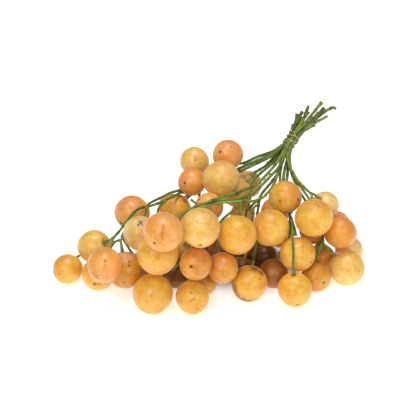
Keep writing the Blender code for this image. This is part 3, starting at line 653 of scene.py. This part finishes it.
def aimed(way):
    return Vector(way).to_track_quat("-Z", "Y").to_euler()


def put(name, data, place=(0.0, 0.0, 0.0)):
    """A new object at a place in metres."""
    made = bpy.data.objects.new(name, data)
    made.location = place
    bpy.context.scene.collection.objects.link(made)
    return made


def simple_mesh(name, form, **measures):
    """A mesh of one basic form."""
    shape, mesh = bmesh.new(), bpy.data.meshes.new(name)
    form(shape, **measures)
    shape.to_mesh(mesh)
    shape.free()
    return mesh


def baked(holder):
    """The mesh that an object comes to. The object itself is removed."""
    bpy.context.view_layer.update()
    mesh = bpy.data.meshes.new_from_object(holder.evaluated_get(bpy.context.evaluated_depsgraph_get()))
    bpy.data.objects.remove(holder)
    return mesh


def tube_curve(name, lines):
    """One curve object with a round tube along every line."""
    curve = bpy.data.curves.new(name, "CURVE")
    curve.dimensions = "3D"
    curve.bevel_depth = MM
    curve.bevel_resolution = 2
    curve.use_fill_caps = True
    for line, widths, closed in lines:
        spline = curve.splines.new("POLY")
        spline.points.add(len(line) - 1)
        spline.points.foreach_set("co", np.column_stack([line * MM, np.ones(len(line))]).ravel())
        spline.points.foreach_set("radius", widths)
        spline.use_cyclic_u = closed
    return put(name, curve)


def fused_mesh(name, lines, voxel, smoothing):
    """The tubes along the lines, grown into one smooth skin."""
    loose = baked(tube_curve(name, lines))
    shape = bmesh.new()
    shape.from_mesh(loose)
    bmesh.ops.remove_doubles(shape, verts=shape.verts, dist=WELD)
    bmesh.ops.recalc_face_normals(shape, faces=shape.faces)
    shape.to_mesh(loose)
    shape.free()
    body = put(name, loose)
    fuse = body.modifiers.new("fuse", "REMESH")
    fuse.mode = "VOXEL"
    fuse.voxel_size = voxel * MM
    soften = body.modifiers.new("soften", "SMOOTH")
    soften.factor = 0.5
    soften.iterations = smoothing
    mesh = baked(body)
    mesh.name = name
    return mesh


def strand_attributes(mesh, tracks):
    """Marks each point of a skin with the lengthwise grain of the line under it, and with its colouring.

    A track is (line, brown, bark, and how sunlit the stem is painted), the last three as numbers from 0 to
    1 for the points of the line; the last is painted light on the stalks and a random tone on the small
    stems.
    """
    points = np.vstack([track[0] for track in tracks])
    tangents = units(np.vstack([np.gradient(track[0], axis=0) for track in tracks]))
    lengths = np.concatenate([lengths_along(track[0]) + TRACK_STEP * number
                              for number, track in enumerate(tracks)])
    tree = kdtree.KDTree(len(points))
    for index, point in enumerate(points):
        tree.insert(point, index)
    tree.balance()
    places = vertex_places(mesh) / MM
    nearest = np.array([tree.find(place)[1] for place in places])
    offset, way = places - points[nearest], tangents[nearest]
    along = (offset * way).sum(1)
    out = units(offset - along[:, None] * way)
    across = units(np.cross(way, UP))
    length = (lengths[nearest] + along) * GRAIN_STRETCH
    grain = np.stack([(out * across).sum(1), (out * np.cross(way, across)).sum(1), length], axis=1)
    mesh.attributes.new("grain", "FLOAT_VECTOR", "POINT").data.foreach_set("vector", grain.ravel())
    for column, name in enumerate(("brown", "bark", "fresh"), 1):
        values = np.concatenate([track[column] for track in tracks])[nearest]
        mesh.attributes.new(name, "FLOAT", "POINT").data.foreach_set("value", values)


def stalk_tracks(node, lines, draw):
    """The fine lines of one stalk node, as tubes to fuse and as tracks to colour by."""
    tubes, tracks, stalks = [], [], -1
    forks = [line[0] for name, line, widths in lines if name == node and widths[0] != CUT_RADIUS]
    for name, line, widths in lines:
        main = widths[0] == CUT_RADIUS
        stalks += main
        if name != node:
            continue
        fine, radii = fine_line(line, widths + SKIN_ROOM)
        brown, bark, knuckles = np.zeros(len(fine)), np.zeros(len(fine)), []
        if len(fine) > 12:
            radii, brown, knuckles = knuckled(fine, radii, forks if main else [], draw)
        if main:
            cut = norms(fine - fine[0])
            radii = radii * (1 + (END_THICKNESS[stalks] - 1) * bell(cut, END_LENGTH))
            brown = np.maximum(brown, draw.uniform(0.75, 1.0) * bell(cut, BROWN_LENGTH))
            bark = bell(cut, BARK_LENGTH)
            # Painted light: how sunlit this stalk is painted, its green mixed from shaded to sunlit.
            fresh = np.full(len(fine), PAINTED_SUNLIGHT[stalks])
        else:
            away = norms(fine - fine[-1])
            brown = np.maximum(brown, 0.8 * bell(away, BROWN_FOOT))
            radii = np.clip(radii, *PEDICEL_RADII)
            # The small stems get a random mix of the shaded and sunlit greens.
            fresh = np.full(len(fine), draw.uniform(0.4, 1.0))
        tubes.append((fine, radii, False))
        tracks.append((fine, brown, bark, fresh))
        for knuckle in knuckles:
            if draw.random() < SPUR_CHANCE and 2 < knuckle < len(fine) - 3:
                way = unit(fine[knuckle + 1] - fine[knuckle - 1])
                spread = unit(np.cross(way, drawn_way(draw)))
                reach = radii[knuckle] + draw.uniform(0.25, 0.7)
                spur = fine[knuckle] + np.outer([0, 0.6 * reach, reach], spread - 0.35 * way)
                tubes.append((spur, np.array(SPUR_RADII), False))
                tracks.append((spur, np.array(SPUR_BROWN), np.ones(3), np.zeros(3)))
    return tubes, tracks


# The stems' colours: green in painted shade and in painted sunlight, each dark and light, then what lies on
# them.
PAINTED_SHADE_GREEN = (0.038, 0.100, 0.010), (0.100, 0.205, 0.022)
PAINTED_SUNLIT_GREEN = (0.19, 0.285, 0.032), (0.33, 0.42, 0.060)
STEM_STREAK = (0.34, 0.45, 0.085)
STEM_FURROW = (0.026, 0.060, 0.006)
STEM_BLOTCH = (0.110, 0.085, 0.026)
STEM_CORK = (0.21, 0.125, 0.050)
STEM_FLECK = (0.14, 0.085, 0.030)
STRAW = (0.50, 0.36, 0.15), (0.80, 0.66, 0.36)
STRAW_STAIN = (0.36, 0.25, 0.09)


def stem_material():
    """Green stems with a lengthwise grain, brown joints and corky cut ends, their green mixed from painted
    shade to painted sunlight.
    """
    stem = Shader("stem_green")
    grain = stem.painted("grain", "Vector")
    brown, bark, fresh = [stem.painted(name) for name in ("brown", "bark", "fresh")]
    place = stem.millimetres()

    tone = stem.patches(place, "stem tone")
    # Painted light and shade: the green goes from shaded to sunlit by how sunlit the stalk is painted, and
    # the pale streaks grow with it.
    colour = stem.mix(fresh, stem.mix(tone, *PAINTED_SHADE_GREEN), stem.mix(tone, *PAINTED_SUNLIT_GREEN))
    light = stem.math("ADD", stem.math("MULTIPLY", fresh, 0.45), 0.2)
    colour = stem.tinge(colour, stem.patches(grain, "streak"), light, STEM_STREAK)
    colour = stem.tinge(colour, stem.patches(grain, "furrow"), 0.7, STEM_FURROW)
    colour = stem.tinge(colour, stem.patches(place, "blotch"), 0.45, STEM_BLOTCH)
    patchy = stem.math("ADD", brown, stem.math("MULTIPLY", stem.noise(place, 0.9, 3.0), 0.55))
    colour = stem.tinge(colour, stem.ramp(patchy, 0.5, 0.95), 0.88, STEM_CORK)
    colour = stem.tinge(colour, stem.patches(place, "fleck"), 0.5, STEM_FLECK)
    ridges = stem.bump(stem.noise(grain, 4.5, 3.0), 0.6, 0.0003)
    rough = stem.math("MULTIPLY", stem.noise(place, 2.2, 3.0), stem.math("MAXIMUM", bark, brown))
    stem.dress({
        "Base Color": colour,
        "Roughness": stem.ramp(patchy, 0.4, 1.0, 0.42, 0.75),
        "Specular IOR Level": 0.4,
        "Normal": stem.bump(rough, 0.7, 0.0006, Normal=ridges),
    })
    return stem.material


def add_stalks(lines, shift):
    material = stem_material()
    middle = world(*TIE_PLACE)
    for order, node in enumerate(dict.fromkeys(stalk.node for stalk in STALKS)):
        tubes, tracks = stalk_tracks(node, lines, random.Random(40 + order))
        tubes = [(line - middle, widths, closed) for line, widths, closed in tubes]
        mesh = fused_mesh("stem_" + node, tubes, STALK_VOXEL, 3)
        strand_attributes(mesh, [(line - middle, *values) for line, *values in tracks])
        add_piece("stem_" + node, mesh, middle + shift, material, node)


def string_material():
    """Pale dry plant fibre, with darker strands along it."""
    string = Shader("straw_string")
    grain = string.painted("grain", "Vector")
    place = string.millimetres()
    colour = string.mix(string.patches(grain, "fibre"), *STRAW)
    colour = string.tinge(colour, string.patches(place, "stain"), 0.4, STRAW_STAIN)
    string.dress({
        "Base Color": colour,
        "Roughness": 0.78,
        "Normal": string.bump(string.noise(grain, 7.0, 3.0), 0.6, 0.0003),
    })
    return string.material


def even_loop(corners, step=0.5):
    """A closed line through the corners, rounded a little, with points at about this distance."""
    path = np.vstack([corners, corners[:1]])
    lengths = lengths_along(path)
    at = np.linspace(0, lengths[-1], round(lengths[-1] / step), endpoint=False)
    loop = np.stack([np.interp(at, lengths, path[:, axis]) for axis in range(3)], 1)
    for _ in range(3):
        loop = (np.roll(loop, 1, axis=0) + loop * 2 + np.roll(loop, -1, axis=0)) / 4
    return loop


def add_tie(shift):
    """The windings, each of two twisted strands, with the knot and its short ends at the back."""
    tie, along, side, near = bundle_axes()
    tubes = []
    for number, (height, tilt, turn) in enumerate(WINDINGS):
        loop = even_loop(winding(height, tilt, turn, 60, along, side, near))
        out = loop - loop.mean(axis=0)
        out -= np.outer(out @ along, along)
        out /= norms(out)[:, None]
        turns = np.linspace(0, 2 * math.pi, len(loop), endpoint=False) * STRAND_TURNS + number
        for strand in (0, math.pi):
            twist = np.outer(np.sin(turns + strand), along) + out * np.cos(turns + strand)[:, None]
            tubes.append((loop + twist * STRAND_TWIST, np.full(len(loop), STRAND_RADIUS), True))
    knot = winding(0, 0, 0, 4, along, side, near)[3] - near * 0.4
    for end in (-side * 3.5 - along * 5.5 - near, side * 3.0 - along * 7.0 - near):
        tail = np.array([knot + along * 1.6, knot - near * 0.5, knot + end * 0.5, knot + end])
        tail, widths = fine_line(tail, TAIL_RADII, 0.5)
        tubes.append((tail, widths, False))
    mesh = fused_mesh("straw_tie", tubes, TIE_VOXEL, 1)
    strand_attributes(mesh, [(line, *[np.zeros(len(line))] * 3) for line, _, _ in tubes])
    add_piece("straw_tie", mesh, tie + shift, string_material(), "tie")


# The stage: the camera at the eye, a white ground and soft light from above, from the left and in front.
FOCAL_PIXELS = 805.0
PICTURE_PIXELS = 416
SENSOR = 36.0
FLOOR_RADIUS = 12.0
FLOOR_DROP = 0.0002
FLOOR_WHITE = (0.93, 0.93, 0.93)
FLOOR_GLOW = 0.57
WHITE = (1.0, 1.0, 1.0, 1.0)
SKY_STRENGTH = 0.12
# The ground deep under the bunch, where no light gets in, has a painted shade: brown and without its glow.
# Its middle and its reach, in metres.
SHADE_MIDDLE = (0.005, 0.004, 0.0)
SHADE_REACH = (0.100, 0.046, 1.0)
PAINTED_SHADE_TONE = (0.34, 0.21, 0.11)
# The lamps: place and width in metres, power, colour.
LAMPS = {
    "key": ((-0.45, -1.0, 1.1), 0.7, 7.2, (1.0, 0.985, 0.96)),
    "front": ((0.6, -1.1, 0.85), 0.7, 4.2, (1.0, 0.99, 0.97)),
    "top": ((0.0, 0.1, 1.6), 0.8, 12.5, (1.0, 1.0, 1.0)),
}


def floor_material():
    white = Shader("white_floor")
    # Painted shade: under the bunch the floor turns brown and stops glowing.
    spread = white.vector_math("SUBTRACT", white.place(), SHADE_MIDDLE)
    spread = white.vector_math("DIVIDE", spread, SHADE_REACH)
    outside_painted_shade = white.ramp(white.vector_math("LENGTH", spread, output="Value"), 0.45, 1.0)
    white.dress({
        "Base Color": white.mix(outside_painted_shade, PAINTED_SHADE_TONE, FLOOR_WHITE),
        "Roughness": 0.9,
        "Specular IOR Level": 0.1,
        "Emission Color": WHITE,
        "Emission Strength": white.math("MULTIPLY", outside_painted_shade, FLOOR_GLOW),
    })
    return white.material


def add_stage(shift):
    scene = bpy.context.scene
    camera = bpy.data.cameras.new("camera")
    camera.sensor_width = SENSOR
    camera.lens = SENSOR * FOCAL_PIXELS / PICTURE_PIXELS
    target = Vector(MIDDLE + shift) * MM
    eye = put("camera", camera, target + Vector(NEARER) * EYE_DISTANCE * MM)
    eye.rotation_euler = aimed(-NEARER)
    scene.camera = eye

    floor = simple_mesh("floor", bmesh.ops.create_circle, cap_ends=True, segments=64, radius=FLOOR_RADIUS)
    floor.materials.append(floor_material())
    put("floor", floor, (0.0, 0.0, -FLOOR_DROP))

    for name, (place, width, power, colour) in LAMPS.items():
        lamp = bpy.data.lights.new(name, "AREA")
        lamp.shape = "DISK"
        lamp.size = width
        lamp.energy = power
        lamp.color = colour
        put(name, lamp, place).rotation_euler = aimed(target - Vector(place))
    sky = bpy.data.worlds.new("white_room")
    sky.use_nodes = True
    light = sky.node_tree.nodes["Background"]
    light.inputs["Color"].default_value = WHITE
    light.inputs["Strength"].default_value = SKY_STRENGTH
    scene.world = sky
    scene.view_settings.view_transform = "Standard"
    scene.view_settings.look = "None"


def noise_at(points, seed, scale):
    """Soft noise from -1 to 1 at each point, with features of about this many millimetres."""
    shift = Vector((seed * 17.3, seed * 5.1, seed * 9.7))
    return np.array([noise.noise(Vector(point) / scale + shift) for point in points])


def vertex_places(mesh):
    places = np.zeros(len(mesh.vertices) * 3)
    mesh.vertices.foreach_get("co", places)
    return places.reshape(-1, 3)


def add_piece(name, mesh, place, material, node):
    """A finished piece at a place in millimetres, standing for one solid."""
    mesh.materials.clear()
    mesh.materials.append(material)
    mesh.shade_smooth()
    piece = put(name, mesh, Vector(place) * MM)
    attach(piece, "root")
    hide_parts(node)


# Patches on skins, stems and straw: how fine the noise is, its detail and distortion, and the values at
# which a patch starts and is full.
PATCHES = {
    "broad": (0.075, 2.5, 0.0, 0.35, 0.62),
    "deep": (0.11, 3.0, 0.4, 0.50, 0.68),
    "mottle": (0.36, 5.0, 0.6, 0.42, 0.68),
    "bloom": (0.26, 4.0, 0.8, 0.46, 0.70),
    "stem tone": (0.06, 2.0, 0.0, 0.35, 0.65),
    "streak": (3.2, 4.0, 0.0, 0.45, 0.66),
    "furrow": (1.7, 3.0, 0.0, 0.5, 0.7),
    "blotch": (0.28, 4.0, 0.0, 0.56, 0.72),
    "fleck": (1.6, 3.0, 0.0, 0.62, 0.72),
    "fibre": (5.0, 4.0, 0.0, 0.38, 0.66),
    "stain": (0.35, 2.0, 0.0, 0.55, 0.75),
}


class Shader:
    """A material under construction, with short calls for its nodes."""

    def __init__(self, name):
        self.material = bpy.data.materials.new(name)
        self.material.use_nodes = True
        self.tree = self.material.node_tree
        self.body = self.tree.nodes["Principled BSDF"]

    def feed(self, socket, value):
        if isinstance(value, bpy.types.NodeSocket):
            self.tree.links.new(value, socket)
        elif isinstance(value, tuple) and socket.type == "RGBA":
            socket.default_value = (*value, 1.0)[:4]
        else:
            socket.default_value = value

    def node(self, kind, settings=None, **inputs):
        made = self.tree.nodes.new("ShaderNode" + kind)
        for key, value in (settings or {}).items():
            setattr(made, key, value)
        for key, value in inputs.items():
            self.feed(made.inputs[key.replace("_", " ")], value)
        return made

    def dress(self, looks):
        """Feeds the surface's own inputs, by name."""
        for key, value in looks.items():
            self.feed(self.body.inputs[key], value)

    def place(self):
        """The place on the piece, in metres."""
        return self.node("TexCoord").outputs["Object"]

    def millimetres(self):
        """The same in millimetres."""
        return self.vector_math("MULTIPLY", self.place(), (1 / MM,) * 3)

    def painted(self, name, output="Fac"):
        return self.node("Attribute", {"attribute_name": name}).outputs[output]

    def vector_math(self, operation, first, second=None, output="Vector"):
        made = self.node("VectorMath", {"operation": operation})
        self.feed(made.inputs[0], first)
        if second is not None:
            self.feed(made.inputs[1], second)
        return made.outputs[output]

    def math(self, operation, first, second):
        made = self.node("Math", {"operation": operation})
        self.feed(made.inputs[0], first)
        self.feed(made.inputs[1], second)
        return made.outputs[0]

    def ramp(self, value, start, end, low=0.0, high=1.0):
        """The value's way from start to end, smoothed, as a number from low to high."""
        made = self.node("MapRange", {"interpolation_type": "SMOOTHSTEP"}, Value=value, From_Min=start,
                         From_Max=end, To_Min=low, To_Max=high)
        return made.outputs["Result"]

    def mix(self, share, first, second):
        made = self.node("Mix", {"data_type": "RGBA"}, Factor=share)
        self.feed(made.inputs[6], first)
        self.feed(made.inputs[7], second)
        return made.outputs[2]

    def tinge(self, colour, mask, share, tone):
        """The colour, moved towards a tone by this share where the mask is."""
        return self.mix(self.math("MULTIPLY", mask, share), colour, tone)

    def noise(self, vector, scale, detail, distortion=0.0):
        made = self.node("TexNoise", Vector=vector, Scale=scale, Detail=detail, Distortion=distortion)
        return made.outputs["Fac"]

    def patches(self, vector, name):
        """Soft-edged patches of noise."""
        scale, detail, distortion, start, full = PATCHES[name]
        return self.ramp(self.noise(vector, scale, detail, distortion), start, full)

    def bump(self, height, strength, distance, **normal):
        made = self.node("Bump", Height=height, Strength=strength, Distance=distance, **normal)
        return made.outputs["Normal"]


def tint_of(number):
    return next((tint for tint, members in TINTED.items() if number in members), "yellow")


def flush_of(number):
    """Which way a fruit's sunny side faces, and how strongly it is flushed."""
    if number in FLUSHED:
        right, above, strength = (value / HUNDRED for value in FLUSHED[number])
        return unit(RIGHT * right + ABOVE * above + NEARER * 0.35), strength
    draw = random.Random(900 + number)
    return unit(drawn_way(draw)), 0.35


def toned(colour, *shares):
    """A colour with each of its parts taken by a share."""
    return tuple(part * share for part, share in zip(colour, shares))


def skin_material(number, radius, stem):
    """A fruit's skin: leathery, yellow to peach, with flecks, scuffs and its own dark marks; the darker
    tints of fruits deep in the bunch are painted shade, and fruit 5's pale marks a painted highlight.
    """
    skin = Shader(f"skin_{number:02d}")
    draw = random.Random(700 + number)
    grain = skin.vector_math("ADD", skin.millimetres(), tuple(draw.uniform(-90, 90) for _ in range(3)))
    facing = skin.vector_math("NORMALIZE", skin.place())

    # For fruits deep in the bunch this tint is a painted shade.
    core, pale = TINTS[tint_of(number)]
    warm = draw.uniform(-0.05, 0.05)
    core = toned(core, 1, 1 + warm, 1 + 2 * warm)
    colour = skin.mix(skin.patches(grain, "broad"), core, pale)
    colour = skin.tinge(colour, skin.patches(grain, "deep"), 0.4, toned(core, 0.88, 0.74, 0.5))
    colour = skin.tinge(colour, skin.patches(grain, "mottle"), 0.3, toned(core, 0.9, 0.68, 0.5))
    sunny, strength = flush_of(number)
    side = skin.vector_math("DOT_PRODUCT", facing, tuple(sunny), "Value")
    side = skin.math("ADD", side, skin.math("MULTIPLY", skin.noise(grain, 0.12, 3.0), 0.7))
    flush = (pale[0] * 0.92, pale[1] * 0.56, pale[2] * 0.6 + pale[0] * 0.02)
    colour = skin.tinge(colour, skin.ramp(side, 0.45, 1.35), strength, flush)
    bloomed = (pale[0] * 1.03, pale[1] * 1.16, pale[2] * 1.5 + pale[0] * 0.10)
    colour = skin.tinge(colour, skin.patches(grain, "bloom"), 0.4, bloomed)
    cells = skin.node("TexVoronoi", Vector=grain, Scale=0.95)
    flecks = skin.ramp(cells.outputs["Distance"], 0.10, 0.26, 1.0, 0.0)
    colour = skin.tinge(colour, flecks, 0.2, bloomed)

    browned = BROWNED.get(number, 0.0)
    scuffs = skin.ramp(skin.noise(grain, 0.2, 5.0, 1.5), 0.66 - 0.16 * browned, 0.8 - 0.12 * browned)
    colour = skin.tinge(colour, scuffs, 0.28 + 0.45 * browned, SCUFF)
    cells = skin.node("TexVoronoi", Vector=grain, Scale=0.21)
    dots = skin.ramp(cells.outputs["Distance"], 0.05, 0.11, 1.0, 0.0)
    chance = skin.node("SeparateColor", Color=cells.outputs["Color"]).outputs[0]
    dots = skin.math("MULTIPLY", dots, skin.math("GREATER_THAN", chance, 0.62))
    colour = skin.tinge(colour, dots, 0.5, DOT)

    wander = skin.node("TexNoise", Vector=grain, Scale=0.9, Detail=2.0).outputs["Color"]
    wander = skin.vector_math("SUBTRACT", wander, (0.5, 0.5, 0.5))
    wander = skin.vector_math("MULTIPLY", wander, (MARK_WANDER / radius,) * 3)
    spot_place = skin.vector_math("ADD", facing, wander)
    masks = {}
    for way, size, kind in skin_marks(number, radius, stem, draw):
        away = skin.vector_math("DISTANCE", spot_place, tuple(way), "Value")
        soft = 0.55 if kind in CRISP_MARKS else 0.8
        reach = size * MARK_SCALE / radius
        mask = skin.ramp(away, reach * (1 - soft), reach * (1 + soft), 1.0, 0.0)
        masks[kind] = skin.math("MAXIMUM", masks[kind], mask) if kind in masks else mask
    # The pale kind is a painted highlight; the other kinds are the skins' own marks.
    for kind, (tone, strength) in MARK_COLOURS.items():
        if kind in masks:
            colour = skin.tinge(colour, masks[kind], strength, tone)

    pores = skin.bump(skin.noise(grain, 1.1, 3.0), 0.35, 0.00012)
    rumple = skin.bump(skin.noise(grain, 0.22, 2.0), 0.3 + 0.5 * browned, 0.0006, Normal=pores)
    rough = skin.ramp(skin.noise(grain, 0.5, 3.0), 0.3, 0.7, 0.30, 0.43)
    skin.dress({"Base Color": colour, "Roughness": rough, "Normal": rumple, **SKIN_SURFACE})
    return skin.material


def view_direction(right, above):
    """The way from a fruit's middle to a mark, from how far right and above it the mark is seen."""
    return RIGHT * right + ABOVE * above + NEARER * math.sqrt(max(0.0, 1 - right ** 2 - above ** 2))


def skin_marks(number, radius, stem, draw):
    """A fruit's marks as (direction, radius, kind): those in front, its tip and a few more behind."""
    marks = [(view_direction(right / HUNDRED, above / HUNDRED), size / HUNDRED, kind)
             for kind, rows in MARKS.items() for fruit, right, above, size in rows if fruit == number]
    scratches = [(np.array(start) / HUNDRED, np.array(end) / HUNDRED, size / HUNDRED, kind)
                 for kind, rows in SCRATCHES.items() for fruit, start, end, size in rows if fruit == number]
    for start, end, size, kind in scratches:
        count = max(3, round(math.dist(start, end) * radius / size / SCRATCH_STEP))
        for share in np.linspace(0, 1, count):
            spot = start * (1 - share) + end * share
            taper = size * (0.65 + 0.35 * math.sin(math.pi * share))
            marks.append((view_direction(*spot), taper, kind))
    if not any(kind == "tip" for _, _, kind in marks):
        marks.append((unit(-stem + np.array([draw.uniform(-0.2, 0.2) for _ in range(3)])), 0.75, "brown"))
    marks.append((stem, 1.9, "brown"))
    for _ in range(RANDOM_MARKS):
        way = unit(drawn_way(draw))
        if way @ NEARER > 0:
            way = way - 2 * (way @ NEARER) * NEARER
        marks.append((way, draw.uniform(0.35, 0.9), draw.choice(("brown", "amber", "brown", "tip"))))
    return marks


def fruit_mesh(number, radius, stem, height):
    """A fine fruit: nearly round, dimpled at the stem, with faint bulges and a small tip."""
    mesh = simple_mesh(f"skin_{number:02d}", bmesh.ops.create_icosphere, subdivisions=5, radius=1.0)
    ways = vertex_places(mesh)
    ways /= norms(ways)[:, None]
    facing = ways @ stem
    factor = 1 - WAIST * (1 - facing ** 2) - STEM_DIMPLE * np.exp(-(1 - facing) / 0.03)
    swell = noise_at(ways, number, 1.1)
    lumps = noise_at(ways, number + 60, 0.45)
    factor += 0.022 * np.minimum(swell, 0.25) + 0.005 * np.minimum(lumps, 0.3)
    for fruit, right, above, depth in DENTS:
        if fruit == number:
            outward = ways @ unit(RIGHT * (right / HUNDRED) + ABOVE * (above / HUNDRED))
            factor -= depth / HUNDRED * np.exp(-(1 - outward) / DENT_WIDTH)
    places = ways * (factor * radius)[:, None]
    places[:, 2] = np.maximum(places[:, 2], GROUND_ROOM - height)
    mesh.vertices.foreach_set("co", (places * MM).ravel())
    mesh.update()
    return mesh


def add_fruits(centres, radii, stems, shift):
    for number, centre in centres.items():
        grounded = FRUITS[number][2] is GROUND
        place = centre + shift - (UP * FLAT_DEPTH if grounded else 0)
        mesh = fruit_mesh(number, radii[number], stems[number], place[2])
        material = skin_material(number, radii[number], stems[number])
        add_piece(f"skin_{number:02d}", mesh, place, material, f"fruit_{number:02d}")


def main():
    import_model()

    centres, radii = settled_fruits()
    lines = laid_stalks(centres, radii)
    shift = cad_shift(centres)
    ends = np.array([line[-1] for _, line, _ in lines])
    stems = {number: unit(ends[norms(ends - centre).argmin()] - centre)
             for number, centre in centres.items()}

    add_fruits(centres, radii, stems, shift)
    add_stalks(lines, shift)
    add_tie(shift)
    add_stage(shift)
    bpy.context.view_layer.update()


main()
